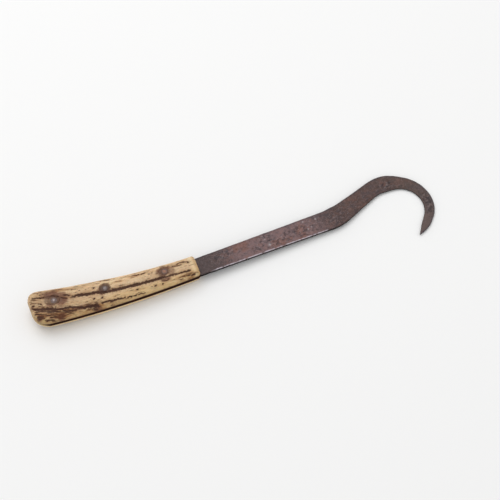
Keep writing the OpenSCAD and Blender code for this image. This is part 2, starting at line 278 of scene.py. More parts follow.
def handle_edges(x):
    """Spine side and near side of the antler scales. x is 0 at the front end and negative behind."""
    middle = HANDLE_SHIFT + x * x / (2 * HANDLE_CURVE_R)
    half = (FRONT_W + (BUTT_W - FRONT_W) * np.clip(-x / HANDLE_LEN, 0, 1) ** WIDENING) / 2
    from_butt = x + HANDLE_LEN
    return (middle + half - corner_drop(from_butt, BUTT_SPINE_R) - corner_drop(-x, FRONT_SPINE_R),
            middle - half + corner_drop(from_butt, BUTT_NEAR_R) + corner_drop(-x, FRONT_NEAR_R))


# %% [markdown]
# The section of the bar is an oblong with small worn corners. From the bend on, the near corner
# opens into a wide bevel, ground on both faces down to the cutting edge.

# %% One section of the blade
ARRIS, BEVEL_W, EDGE_T = 0.5, 2.4, 0.3       # worn corner, ground bevel and cutting edge in mm
SIDES = [10, 2, 26, 6, 3, 6, 16, 2]          # steps along each side of the section
FACE = np.repeat(np.arange(8), SIDES)        # which side each point of a section starts on
# the sides that face sideways or down are later painted near black, as painted shade
NEAR_CORNER, SHADED_SIDE_FACES = 3, (0, 4, 5, 6)        # the bevel above, and what faces sideways or down


def section(width, thick, bevel, edge, arris=ARRIS):
    """Points round the section as rows of (across, up). Side 2 is the upper face."""
    half, top = width / 2, thick / 2
    cut = min(arris, width / 4, thick / 4)
    corners = np.array([(half, cut - top), (half, top - cut), (half - cut, top), (bevel - half, top),
                        (-half, edge / 2), (-half, -edge / 2), (bevel - half, -top), (half - cut, -top)])
    rows = []
    for k, steps in enumerate(SIDES):
        start, end = corners[k], corners[(k + 1) % 8]
        rows += [start + (end - start) * j / steps for j in range(steps)]
    return np.array(rows)


# %% [markdown]
# The tang inside the handle follows the outline of the scales just inside their edge, so a dark
# line of iron shows all round. In front of the handle the sections follow the centre line. Each
# place along the iron gives one ring of points.

# %% Rings along the tang and the blade
TANG_INSET, TANG_BLEND, SHANK_HALF_W = 0.6, 8, 7
TANG_BUTT = TANG_INSET - HANDLE_LEN


def tang_rings():
    """For each place behind the front end: x, the offsets across it and its ring of points."""
    rounding = TANG_BUTT + BUTT_SPINE_R * (1 - np.cos(np.linspace(0, math.pi / 2, 9)[:-1]))
    for x in np.concatenate([rounding, np.linspace(TANG_BUTT + BUTT_SPINE_R, -0.8, 70)]):
        spine, near = handle_edges(max(x - TANG_INSET, -HANDLE_LEN))
        full = step(0, TANG_BLEND, -x)
        top = (1 - full) * SHANK_HALF_W + full * (spine - TANG_INSET)
        low = (full - 1) * SHANK_HALF_W + full * (near + TANG_INSET)
        thick = SHANK_T - (SHANK_T - TANG_BUTT_T) * -x / HANDLE_LEN
        across, up = section(top - low, thick, ARRIS, thick - 2 * ARRIS).T
        yield x, across, np.c_[np.full(len(across), x), (top + low) / 2 + across, up]


def blade_rings():
    """The same for each place in front of the handle, by its distance s along the iron."""
    for x, y, heading, s in LINE:
        ground = step(BEND_S, CROWN_S, s)
        width, thick = smooth_curve(WIDTHS, s), np.interp(s, *zip(*THICKNESSES))
        bevel = min(ARRIS + (BEVEL_W - ARRIS) * ground, 0.45 * width)
        edge = (thick - 2 * ARRIS) * (1 - ground) + min(EDGE_T, thick / 2) * ground
        worn = ARRIS * (0.8 + 0.5 * noise.fractal((s / 5, 3.3, 0), 0.8, 2.0, 3))
        across, up = section(width, thick, max(bevel, worn), min(edge, thick - 1.6 * worn), worn).T
        yield s, across, np.c_[x - across * math.sin(heading), y + across * math.cos(heading), up]


RING_S, RING_OFF, RINGS = (np.array(part) for part in zip(*tang_rings(), *blade_rings()))
RING_COUNT, AROUND = RINGS.shape[:2]
print(f"blade: {RING_COUNT} rings of {AROUND} points")

# %% [markdown]
# A grid primitive has one vertex for each ring and step. Its vertices are moved onto the rings, its
# two long sides are merged where they meet, and the butt and the tip are closed. Each vertex notes
# how far along and across the iron it lies, because every mark on the blade is placed by that.

# %% Wrap a grid round the sections
bpy.ops.object.select_all(action="DESELECT")
bpy.ops.mesh.primitive_grid_add(x_subdivisions=RING_COUNT - 1, y_subdivisions=AROUND, size=1)
blade = bpy.context.object
blade.name = blade.data.name = "forged_blade"
grid = points(blade) * MM
ring_i = np.rint((grid[:, 0] + 0.5) * (RING_COUNT - 1)).astype(int)
ring_j = np.rint((grid[:, 1] + 0.5) * AROUND).astype(int) % AROUND
move_points(blade, RINGS[ring_i, ring_j])
note(blade, "along_mm", RING_S[ring_i])
note(blade, "across_mm", RING_OFF[ring_i, ring_j])
# the sides that face sideways or down, to be painted near black as shade
mask(blade, "flank", np.isin(FACE[ring_j], SHADED_SIDE_FACES))
mask(blade, "near_corner", FACE[ring_j] == NEAR_CORNER)
weld(blade, close=True)
print("grid wrapped:", len(blade.data.vertices), "vertices")

# %% [markdown]
# ## Hammer, rust and wear
# A smith's hammer leaves shallow waves, and rust eats pits into the skin of the iron. Bump in the
# material could show both, but would look flat from close by and be missing from the mesh, so they
# are real shape here. Each mark is a weight on the vertices, and a Displace modifier presses the
# surface in along its normals by that weight. Where the material has to find a mark again, such as
# a pit that is darker than the iron around it, the weights are kept as a mask.

# %% A carving tool
def carve(obj, name, weights, depth, keep=False):
    """Press the surface in by depth mm where the weight is 1. A negative depth raises it."""
    group = obj.vertex_groups.new(name=name)
    weights = np.clip(weights, 0.0, 1.0)
    for index in np.flatnonzero(weights > 0.002):
        group.add([int(index)], float(weights[index]), "REPLACE")
    press = obj.modifiers.new(name, "DISPLACE")
    press.vertex_group, press.direction, press.mid_level = name, "NORMAL", 0.0
    press.strength = -depth * MM
    only(obj)
    bpy.ops.object.modifier_apply(modifier=press.name)
    obj.vertex_groups.remove(obj.vertex_groups[name])
    if keep:
        mask(obj, name, weights)


# %% [markdown]
# The pits lie in clusters: near the middle of the shank, on the crown and down the outside of the
# hook. A cluster is a soft ellipse, and noise breaks it up. Close to the edges of the faces and
# inside the handle nothing is carved, so the outline stays as it was measured.

# %% Where the rust has bitten
rows = points(blade)
s_at, off_at = noted(blade, "along_mm"), noted(blade, "across_mm")
to_edge = smooth_curve(WIDTHS, np.clip(s_at, 0, TIP_S)) / 2 - np.abs(off_at)
inside = step(0.3, 1.6, to_edge) * step(-1, 1, s_at)
# distance along the iron, offset towards the spine, half length and half width in mm, strength
PIT_FIELDS = [
    (22, 3, 10, 4, 1), (53, 4, 7, 3.5, 1), (58, -2, 16, 4, 0.9), (80, 0, 12, 5, 1),
    (92, 3, 7, 3, 0.9), (108, -1, 9, 6, 0.7), (157.5, -2, 4.5, 2.6, 2.2), (194, 0, 5, 3, 2.4),
    (202, 0, 6, 3, 2.0),
]
field = np.zeros(len(rows))
for s0, off0, long, wide, strength in PIT_FIELDS:
    near = np.exp(-((s_at - s0) / long) ** 2 - ((off_at - off0) / wide) ** 2)
    field = np.maximum(field, strength * near)
waves = 0.5 + 0.5 * grain(rows, (14, 9, 30), 2, 2)
pits = step(0.3, 0.85, grain(rows, (2.0, 1.7, 3), 1, 4) + 0.45 * field - 0.12)
specks = step(0.3, 0.6, grain(rows, (0.9, 0.8, 3), 5, 3) + 0.3 * field - 0.15)
carve(blade, "waves", waves * inside, 0.15)
carve(blade, "pits", pits * inside, 0.2, keep=True)
carve(blade, "specks", specks * inside, -0.07, keep=True)
mask(blade, "forge_scale", np.minimum(field, 1) * inside)
print(f"pits cover {np.mean(pits * inside > 0.5):.0%} of the vertices")

# %% [markdown]
# Use keeps some places bright: the near corner of the shank, where it has been rubbed. A few small
# spots are painted near white, as glints of light. The corner on the spine side has gone dark. How
# far a place lies from the edge of its face would be enough for an even line of wear, and noise
# breaks that line up.

# %% Rubbed corners and painted glints
dull = 0.8 + 0.45 * grain(rows, (2.5, 2.5, 2.5), 9, 3)
rubbed = step(-4, 14, s_at) * step(BEND_S + 14, BEND_S - 6, s_at)
on_spine_edge = np.exp(-to_edge ** 2) * (off_at > 0) * step(-0.5, 1, s_at)
mask(blade, "near_corner", noted(blade, "near_corner") * rubbed * dull)
mask(blade, "spine_edge", on_spine_edge * dull)
# painted glints of light: distance along the iron, offset towards the spine and radius in mm
PAINTED_GLINTS = [
    (54.5, -2.9, 0.9), (93.8, 4.2, 0.6), (84.2, 5.4, 0.5), (85.4, -1.5, 0.5), (53, 2.5, 0.4),
    (88.4, -0.8, 0.4),
]
painted_glints = np.zeros(len(rows))
for s0, off0, radius in PAINTED_GLINTS:
    painted_glints = np.maximum(painted_glints, np.exp(-(np.hypot(s_at - s0, off_at - off0) / radius) ** 2))
mask(blade, "painted_glints", painted_glints * inside)

# %% [markdown]
# The iron changes its shade along its length too: dark beside the handle, plum in the middle of the
# shank, browner on the hook and paler at the point. Inside the handle, where its edge shows in the
# seam, the iron is painted dark as rust and as the shade in the gap, and this paint is paler and
# browner at the butt. Each shade is a mask that fades in over some millimetres.

# %% Shades along the iron
# where the painted seam, on the iron and on the antler, turns paler towards the butt, in mm
PALER_BUTT_SEAM = (-108, -114)
# where each shade starts and where it is full, in mm along the iron
SHADES = {"near_handle": (28, 2), "hook": (130, 190), "point": (188, 214), "paler_butt_seam": PALER_BUTT_SEAM}
for shade, (start, full) in SHADES.items():
    mask(blade, shade, step(start, full, s_at))
mask(blade, "mid_shank", step(8, 38, s_at) * step(110, 82, s_at))
# the tang inside the handle, whose edge shows in the seam: painted dark as rust and as shade
mask(blade, "in_handle", s_at < -0.4)
finish_mesh(blade, 35)
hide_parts("blade")

# %% [markdown]
# ## The antler scales
# Each scale is a slab from the outside of a stag's antler, so its skin keeps the dark furrows that
# ran along the antler, little pits, and the stains of its life. A copy of the measured solid gives
# the exact outline, swell and rivet seats. A voxel remesh turns it into a fine even skin, like a
# block of clay, on which long strokes can be pressed in. Subdividing the solid's own long faces
# would leave too few points across a furrow.

# %% Copy a solid and give it an even skin
def skin_of(node, name, voxel):
    """A copy of a measured solid in the flat frame, with even small faces about voxel mm wide."""
    obj = bpy.data.objects.new(name, nodes[node].data.copy())
    bpy.context.scene.collection.objects.link(obj)
    place(obj, REST.inverted())
    weld(obj)
    remesh = obj.modifiers.new("even skin", "REMESH")
    remesh.mode, remesh.voxel_size, remesh.adaptivity = "VOXEL", voxel * MM, 0.0
    bpy.ops.object.modifier_apply(modifier=remesh.name)
    print(name, "skin:", len(obj.data.vertices), "vertices")
    return obj


# %% [markdown]
# The furrows are drawn as strokes through a few points, in millimetres of the flat frame, and the
# pores as dots. Each stroke has a width and a depth.

# %% Strokes and dots on the front scale
MAIN_FURROW = [
    (-90, 8), (-85, 7.5), (-80.5, 6.5), (-76, 5.5), (-71.5, 4.5), (-67, 3), (-63.5, 2.5),
    (-57.5, 1.5), (-51.5, 1), (-46, 0), (-40, -0.5), (-35.5, -1), (-30.5, -1.5), (-26, -1.5),
    (-20, -2.5), (-16, -2.5),
]
NEAR_FURROW = [
    (-117, 10), (-114.5, 8.5), (-110, 7), (-105.5, 5), (-101, 3), (-96.5, 2), (-92.5, 1),
    (-88.5, -0.5), (-86, -2), (-80.5, -3), (-75.5, -4),
]
# path, half width in mm, depth from 0 to 1
FURROWS = [
    (MAIN_FURROW, 1.0, 0.95), ([(-18.5, -2.5), (-12, -3), (-6, -3.5)], 0.6, 0.8),
    (NEAR_FURROW, 0.95, 1.0), (NEAR_FURROW[:6], 0.9, 1.0),
    ([(-72, -4), (-68, -4.5), (-63.5, -5), (-59, -5.5)], 0.6, 0.9),
    ([(-59, -5.5), (-55, -6)], 0.5, 0.8), ([(-54, -6.5), (-50.5, -6.5)], 0.5, 0.85),
    ([(-50, -6.5), (-47.5, -7)], 0.4, 0.7), ([(-46.5, -7), (-41, -7.5)], 0.35, 0.55),
    ([(-96, 10.5), (-93.5, 9), (-92, 8)], 0.5, 0.8),
    ([(-94, 11.5), (-92, 11), (-90, 9.5)], 0.6, 0.8),
    ([(-114.5, 17.5), (-111.5, 16.5), (-108.5, 15.5), (-106, 15.5)], 0.55, 0.85),
    ([(-106.5, 14.5), (-103.5, 14.8), (-100.5, 13.8), (-97.5, 11.5), (-94, 9.5)], 0.35, 0.55),
    ([(-107.5, 12), (-106, 9), (-102, 7.2), (-98.5, 8.2), (-96.5, 10)], 0.35, 0.45),
    ([(-112, 12), (-110.5, 11.5), (-109.5, 10)], 0.4, 0.7),
    ([(-112.5, 9.8), (-110.5, 9.2), (-109, 9)], 0.35, 0.6),
    ([(-116, 6.8), (-110.5, 5), (-105, 3), (-99.5, 0.5)], 0.45, 0.85),
    ([(-116.5, 5.5), (-110.5, 2.5), (-104, -0.5)], 0.45, 0.8),
    ([(-116, 3.2), (-111, 1.2)], 0.4, 0.7), ([(-115.5, 1.8), (-110.5, 0)], 0.4, 0.7),
    ([(-107.5, -0.5), (-102.5, -2)], 0.45, 0.8),
    ([(-98, 1), (-95.5, -1), (-91.5, -2), (-88.5, -2.5)], 0.45, 0.75),
    ([(-110.5, -1.5), (-105, -3)], 0.4, 0.75), ([(-97, -1), (-93, -3)], 0.35, 0.6),
    ([(-108, 3), (-103, 1.5)], 0.35, 0.7), ([(-17.5, 4.5), (-14.5, 4), (-10.5, 3)], 0.4, 0.75),
    ([(-14, 4.8), (-11.5, 5.5), (-7.5, 4.5)], 0.35, 0.6), ([(-16, -6), (-11, -6)], 0.35, 0.5),
    ([(-10.5, -6), (-7, -6.5)], 0.4, 0.75), ([(-7, -7), (-4, -7)], 0.45, 0.8),
    ([(-58, 8), (-53.5, 6.5)], 0.35, 0.5), ([(-54, 9.5), (-49, 9)], 0.35, 0.45),
    ([(-88, 14), (-84, 12.8)], 0.35, 0.5), ([(-44, 8), (-42.5, 6.8), (-40.5, 7)], 0.45, 0.85),
    ([(-39.5, 6.5), (-38, 6.3), (-36, 7)], 0.45, 0.8),
    ([(-28, -3.2), (-25, -4.8), (-22.5, -4.2)], 0.5, 0.5), ([(-68, 13), (-58, 11.5)], 0.3, 0.4),
    ([(-33, 8.5), (-24, 8)], 0.3, 0.4),
]
# x, y, radius in mm, depth from 0 to 1
DOTS = [
    (-86, -1.8, 1.2, 0.9), (-81, -2.8, 1.2, 0.95), (-76, -4, 1.7, 0.95), (-101, 3, 1.1, 0.8),
    (-70, -0.5, 0.7, 0.9), (-75.5, 0.6, 0.75, 0.85), (-61.5, -3, 0.5, 0.5), (-45.5, -4, 0.65, 0.85),
    (-35.5, -5.5, 0.35, 0.6), (-33, -5.5, 0.6, 0.8), (-28, -6, 0.5, 0.8), (-108.5, 18, 0.5, 0.6),
    (-106.5, 18, 0.45, 0.5), (-109.5, 19.5, 0.45, 0.5), (-115.5, 11, 0.8, 0.9), (-87, 14, 0.5, 0.5),
    (-82.5, 11, 0.5, 0.6), (-78.5, 9.5, 0.5, 0.5), (-83.5, 12.5, 0.45, 0.5), (-73, 9, 0.8, 0.7),
    (-67, 12, 0.5, 0.5), (-62.5, 8.5, 0.5, 0.5), (-57.5, 11, 0.4, 0.5), (-6, 3.5, 0.6, 0.7),
    (-104, 17, 0.4, 0.5), (-32, 5, 0.5, 0.5), (-29, 3, 0.5, 0.4), (-90.5, 4, 0.4, 0.4),
    (-52, -2, 0.4, 0.4),
]
print(f"front scale: {len(FURROWS)} strokes and {len(DOTS)} dots")

# %% [markdown]
# Antler grows unevenly, so no stroke is drawn clean. Noise bends it sideways and changes its width
# along the way, and it thins out at both ends. The same marks drawn wider give the brown rim that
# dirt leaves beside a furrow.

# %% How deep the marks are
def furrow_marks(rows, marks, seed, widen=1.0):
    """How deeply each point lies in a furrow or a dot, from 0 to 1."""
    drawn = rows.copy()
    drawn[:, 1] += 0.5 * grain(rows, (5, 5, 9), seed + 1, 4)
    ragged = widen * (1 + 0.7 * grain(rows, (1.3, 0.9, 3), seed + 2, 4))
    ragged = np.maximum(ragged, 0.25)
    deep = np.zeros(len(rows))
    for path, half, depth in marks["furrows"]:
        off, t = stroke(drawn, path)
        ends = np.sqrt(np.clip(np.minimum(t, 1 - t) * 9 + 0.2, 0, 1))
        deep = np.maximum(deep, depth * ends * np.exp(-(off / (half * ragged)) ** 2))
    for x, y, radius, depth in marks["dots"]:
        off = np.hypot((drawn[:, 0] - x) * 0.7, drawn[:, 1] - y)
        deep = np.maximum(deep, depth * np.exp(-(off / (radius * ragged)) ** 2))
    return deep


# %% [markdown]
# ## Rust and stains in the antler
# Iron rivets weep into the antler around them. The stain round the butt rivet is a broad lens, the
# middle one a dark ring, rust with painted shade on the wall of the hollow the rivet sits in, and
# the front one a brown blot that drips over the furrow. Stains have no depth, so they are only masks
# for the material: soft ellipses with a ragged rim. A painted picture would do it too, but it would
# have to be unwrapped and would blur from close by.

# %% Stains round the rivets and elsewhere
# centres of the butt, middle and front rivet, x and y in mm
RIVETS = [(-101, 10.5), (-66, 5.6), (-23.5, 2.5)]
# each stain: x, y, half length, half width, turn in degrees, strength
RUST = [
    (-101, 15.2, 5.5, 4, -20, 1.0), (-95.5, 12.8, 4, 2.6, -20, 0.95), (-96, 8, 4.5, 4.5, -20, 1.0),
    (-104.5, 8, 3, 2, -10, 0.7), (-96.5, 10.5, 3.2, 3.2, 0, 0.9), (-107, 16.5, 2, 3, 0, 0.6),
    (-66.3, 6.2, 4.2, 3.6, 0, 1.0), (-63, 3, 3, 1.6, 0, 0.4), (-23.5, 3, 5.5, 4.6, 0, 1.0),
    (-19.5, 1, 3.5, 3, 0, 0.6), (-25, -4, 4, 1.6, 0, 0.9), (-78, -2, 10, 1.6, -12, 0.35),
    (-100, -2.5, 3.2, 2, 0, 1.0), (-113.5, 1.5, 3, 1.6, -15, 0.8), (-14, -8.5, 3, 1.6, 0, 0.3),
    (-91, 10.5, 3.5, 1.6, -20, 0.5), (-101, 3, 2, 1.2, 0, 0.7), (-86, -2, 7, 1.3, -14, 0.6),
    (-74.2, -5.9, 2.8, 1.5, -10, 0.75),
]
# the same for yellow-brown stains
OCHRE = [
    (-100, 0, 10, 3.5, -18, 0.9), (-86, -3.5, 9, 2.4, -14, 0.8), (-112, 5, 6, 5, 0, 0.6),
    (-12, -2, 3, 1.5, 0, 0.3), (-56, 7, 5, 1.5, -8, 0.6), (-12, 5, 6, 1.6, 0, 0.5),
    (-92, 16, 9, 1.6, -14, 0.5), (-10, -6, 8, 1.8, 0, 0.7), (-44, 7, 6, 1.6, -6, 0.5),
    (-73, -6, 4, 2, -10, 1.0),
]
# where the skin is rough and weathered
WEATHER = [
    (-104, 1, 14, 5.5, -20, 1.0), (-113, 12, 5, 6, 0, 0.6), (-100, 18, 12, 2, -16, 0.5),
    (-70, 12.5, 16, 1.6, -10, 0.5), (-42, 8, 12, 1.5, -6, 0.5), (-14, 4.5, 8, 2, 0, 0.5),
    (-10, -6.5, 9, 2, 0, 0.6), (-84, -2.5, 11, 2.5, -14, 0.7), (-62, -5.5, 10, 1.5, -8, 0.4),
]
# grey iron stain, mostly close to the rivets
GRIME = [
    (-101.8, 11.2, 7.4, 4.2, -28, 1.0), (-66.3, 6, 3.4, 3.2, 0, 1.0),
    (-24.5, 2.5, 5.4, 3.4, 0, 0.8), (-26, -2, 4, 2, 0, 0.7), (-12, 3.5, 13, 6, -6, 0.14),
    (-38, 0, 22, 8, -6, 0.08),
]


def blots(rows, spots, seed):
    """Soft ragged blots, from 0 to 1."""
    ragged = 1 + 0.35 * grain(rows, (3.5, 3, 6), seed, 3)
    total = np.zeros(len(rows))
    for x, y, long, wide, turn, strength in spots:
        c, s = math.cos(math.radians(turn)), math.sin(math.radians(turn))
        u = (rows[:, 0] - x) * c + (rows[:, 1] - y) * s
        v = (rows[:, 1] - y) * c - (rows[:, 0] - x) * s
        r = np.hypot(u / long, v / wide) / ragged
        total = np.maximum(total, strength * (1 - step(0.55, 1.25, r)))
    return total


# %% [markdown]
# Some shades follow the outline of a scale rather than its skin: tan to peach from the near side to
# the spine, a band of painted light round the front end and painted shade on its rounded end, darker
# antler towards the butt, painted light on the near edge of the back scale, and the seam where the
# scale meets the tang, painted dark as rust and as the shade in the gap. This painted seam widens a
# little towards the front end, and at the butt it fades.

# %% Masks that follow the outline
def outline_masks(obj, rows, up):
    """Masks for the ends, the sides and the seam. up is 1 for the front scale, -1 for the back."""
    x, y, height = rows[:, 0], rows[:, 1], up * rows[:, 2]
    spine, near = handle_edges(np.clip(x, -HANDLE_LEN, 0))
    wider = step(-90, -40, x)
    if up > 0:
        open_seam = step(2.3, 1.5, height - 0.3 * wider)
    else:
        open_seam = step(1.6, 1.35, height - 0.15 * wider)
    # the antler beside the tang, painted dark as rust and as the shade in the gap
    mask(obj, "seam_rust_and_shade", open_seam * (1 - 0.8 * step(*PALER_BUTT_SEAM, x)))
    mask(obj, "spine_side", (y - near) / np.maximum(spine - near, 1))
    mask(obj, "height", np.where(up > 0, height / 9, 1))
    # painted light on the near edge of the back scale, for the light the table throws up
    mask(obj, "painted_light_edge", (up < 0) * step(4, 1, y - near))
    mask(obj, "butt_end", step(-50, -95, x))
    # painted shade on the rounded front end
    mask(obj, "front_end_shade", step(-2.9, -1.7, x))
    # painted light on a band round the front end, where its nose begins to round off
    mask(obj, "collar_light", np.exp(-((x + 3.8) / 1.3) ** 2) * step(1.7, 3.2, height))


# %% [markdown]
# Now a scale can be shaped. Broad lumps come first, then the lengthwise grain, the worm-like rough
# patches where the skin has weathered, and last the furrows. Round each rivet the skin is smooth,
# so the first three stop short of it. The fibres fan out towards the butt, and the streaks and the
# noise of the material follow them.

# %% Shape and mark one scale
FAN_LEAN, FAN_CURL = 0.08, 6.7e-6        # how the fibres drift sideways on their way to the butt


def antler_scale(node, name, up, marks, seed):
    """A scale with its grain, furrows, dots and masks. up is 1 for the front scale, -1 for the back."""
    obj = skin_of(node, name, 0.32)
    rows = points(obj)
    x, y, z = rows.T
    fibres = np.c_[x, y + FAN_LEAN * x - FAN_CURL * (-x) ** 3, z]
    outer = step(1.7, 3.2, up * z)
    shown = step(1.5, 2.2, up * z)
    to_butt, to_middle, to_front = (np.hypot(x - at[0], y - at[1]) for at in RIVETS)
    near_rivet = np.minimum(np.minimum(to_butt, to_middle), to_front)
    clear = step(1.9, 3.2, near_rivet)
    weather = blots(rows, marks["weather"], seed + 8) * outer
    lengthwise = 0.5 + 0.5 * grain(fibres, (14, 1.5, 3), seed + 3, 3)
    lumps = 0.5 + 0.5 * grain(rows, (9, 5, 9), seed + 4, 2)
    streaks = grain(fibres, (5, 0.75, 3), seed + 5, 3)
    worm = step(-0.1, 0.25, streaks - 0.5 + 0.62 * weather) * outer
    carve(obj, "lumps", lumps * outer * clear, 0.4)
    carve(obj, "lengthwise", lengthwise * outer * clear, 0.2)
    carve(obj, "worm", worm * clear, 0.2, keep=True)
    carve(obj, "furrow", furrow_marks(rows, marks, seed) * step(1.2, 2.4, up * z), 0.5, keep=True)
    mask(obj, "halo", furrow_marks(rows, marks, seed, 2.2) * shown)
    mask(obj, "rust", blots(rows, marks["rust"], seed + 6) * shown)
    mask(obj, "ochre", blots(rows, marks["ochre"], seed + 7) * shown)
    mask(obj, "grime", blots(rows, GRIME, seed + 9) * shown)
    mask(obj, "weather", weather)
    mask(obj, "crest", step(0.15, 0.5, -streaks) * weather)
    # painted shade, with iron stain, in the hollow round each rivet, and a ring of rust and painted
    # shade on the wall of the middle one's hollow
    mask(obj, "seat", step(3.4, 2.0, near_rivet) * outer)
    mask(obj, "ring", np.exp(-((to_middle - 3.0) / 0.9) ** 2) * outer)
    outline_masks(obj, rows, up)
    note_place(obj, "fibres", fibres)
    finish_mesh(obj, 60)
    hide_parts(node)
    return obj


FRONT_MARKS = {"furrows": FURROWS, "dots": DOTS, "rust": RUST, "ochre": OCHRE, "weather": WEATHER}
front_scale = antler_scale("front_scale", "antler_front", 1, FRONT_MARKS, 3)

# %% [markdown]
# The back scale is the other half of the same antler. It lies under the tool, where the picture
# doesn't show it: its furrows are of the same kind, but laid out afresh.

# %% The back scale
BACK_MARKS = {
    "furrows": [
        ([(-115, 15), (-104, 12), (-90, 9.5), (-78, 6.5)], 0.8, 0.9),
        ([(-84, -1.5), (-70, -2.5), (-55, -4), (-40, -4.5), (-33, -4)], 0.75, 1.0),
        ([(-114, 3), (-103, 0.5), (-95, -1)], 0.7, 0.9),
        ([(-74, 9), (-60, 8), (-46, 6), (-30, 5.5), (-14, 5)], 0.6, 0.8),
        ([(-28, -5), (-16, -5), (-6, -5.5)], 0.6, 0.8), ([(-112, 19), (-106, 17.5)], 0.5, 0.6),
        ([(-58, 1), (-50, 0.5)], 0.5, 0.6), ([(-92, 14), (-85, 12.5)], 0.45, 0.6),
    ],
    "dots": [
        (-97, 3, 0.8, 0.8), (-88, 1, 0.6, 0.6), (-72, 2.5, 0.9, 0.8), (-52, 4, 0.6, 0.6),
        (-44, 0, 0.8, 0.8), (-36, 2, 0.5, 0.5), (-12, 0, 0.7, 0.7), (-8, 2, 0.4, 0.5),
        (-108, 8, 0.7, 0.7),
    ],
    "rust": [
        (-101, 10.5, 6.5, 5, 10, 0.9), (-66, 5.6, 4.5, 3.5, 0, 1.0), (-23.5, 2.5, 5, 4, 0, 0.9),
        (-110, 0, 4, 2, 0, 0.5), (-48, -5, 4, 1.5, 0, 0.5),
    ],
    "ochre": [
        (-88, 3, 9, 3, -8, 0.7), (-40, 3, 9, 2.5, 0, 0.6), (-8, -3, 4, 3, 0, 0.5),
    ],
}
BACK_MARKS["weather"] = BACK_MARKS["ochre"]
back_scale = antler_scale("back_scale", "antler_back", -1, BACK_MARKS, 23)

# %% [markdown]
# ## The rivets
# Three iron pins hold the handle. Each was hammered over a shallow hollow, so its head is a low dome
# with flats where the hammer struck. A clean half sphere would look like a machine's work. So a
# remeshed copy of the measured pin takes the blows as broad noise, and finer noise as rust. Only
# the two heads are carved, not the shank of the pin inside the handle.

# %% Hammered rivet heads
def hammered_rivet(node, name, seed, rim, rust, shine):
    """A rivet with hammered heads. Last three, 0 to 1: painted rim shade with rust, rust, painted
    highlight.
    """
    obj = skin_of(node, name, 0.11)
    rows = points(obj)
    blows = 0.5 + 0.5 * grain(rows, (1.6, 1.4, 2.4), seed, 2)
    specks = step(0.55, 0.95, 0.5 + 0.5 * grain(rows, (0.6, 0.6, 0.6), seed + 1, 2))
    end = step(3.5, 4.5, np.abs(rows[:, 2]))
    carve(obj, "blows", blows * end, 0.3)
    carve(obj, "pits", specks * end, 0.1, keep=True)
    from_centre = np.hypot(*(rows[:, :2] - rows[:, :2].mean(axis=0)).T)
    outside = step(0.9, 1.9, from_centre + 0.5 * grain(rows, (1.2, 1.2, 1.2), seed + 2, 2))
    # painted shade with some rust round the rim of each head, where it meets its hollow
    mask(obj, "rim", rim * outside)
    mask(obj, "rust", rust * (1.2 - outside))
    # a worn spot on top of the dome, made metallic and painted near white as a highlight
    mask(obj, "shine", shine * np.exp(-(from_centre / 0.6) ** 2))
    finish_mesh(obj, 60)
    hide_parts(node)
    return obj


# how dark the painted shade and rust round its rim, how rusty, and how bright the painted
# highlight on each head is
HEADS = {"butt_rivet": (0.35, 0.1, 0.7), "middle_rivet": (0.9, 0.0, 0.25),
         "front_rivet": (0.5, 0.7, 0.0)}
rivets = [hammered_rivet(node, node + "_hammered", 40 + 3 * k, *HEADS[node])
          for k, node in enumerate(HEADS)]

# %% [markdown]
# ## Writing materials as expressions
# A node tree is easier to read as maths. The class Wire wraps one output socket, and adding or
# multiplying two wires adds the Math node for it. Colours go through Mix nodes instead, because a
# Math node would turn them grey.

# %% Wires
class Wire:
    """One output socket, which can be added, subtracted and multiplied like a number."""

    def __init__(self, tree, socket):
        self.tree, self.socket = tree, socket

    def math(self, operation, *others, clamp=False):
        """A Math node fed by this wire and the others."""
        node = self.tree.nodes.new("ShaderNodeMath")
        node.operation, node.use_clamp = operation, clamp
        for slot, value in zip(node.inputs, (self, *others)):
            plug(self.tree, slot, value)
        return Wire(self.tree, node.outputs[0])

    def __add__(self, other):
        return self.math("ADD", other)

    def __mul__(self, other):
        return self.math("MULTIPLY", other)

    def __sub__(self, other):
        return self.math("SUBTRACT", other)

    def __rsub__(self, other):
        return self * -1 + other

    __radd__, __rmul__ = __add__, __mul__


def plug(tree, slot, value):
    """Link a wire to a socket, or write a plain value into it."""
    if isinstance(value, Wire):
        tree.links.new(value.socket, slot)
    elif slot.type == "RGBA" and len(value) == 3:
        slot.default_value = (*value, 1)
    else:
        slot.default_value = value


def colour(red, green, blue):
    """A colour as a paint chart gives it, from 0 to 255, turned into the linear light nodes use."""
    shares = [v / 255 for v in (red, green, blue)]
    return tuple(v / 12.92 if v < 0.0405 else ((v + 0.055) / 1.055) ** 2.4 for v in shares)


# %% [markdown]
# A finish is one Principled material. An old surface is many thin things on top of each other, so
# its colour is laid on in coats, each a shade and how strongly it covers. Marks that have a place
# are read from the masks on the vertices, and everything finer is noise.

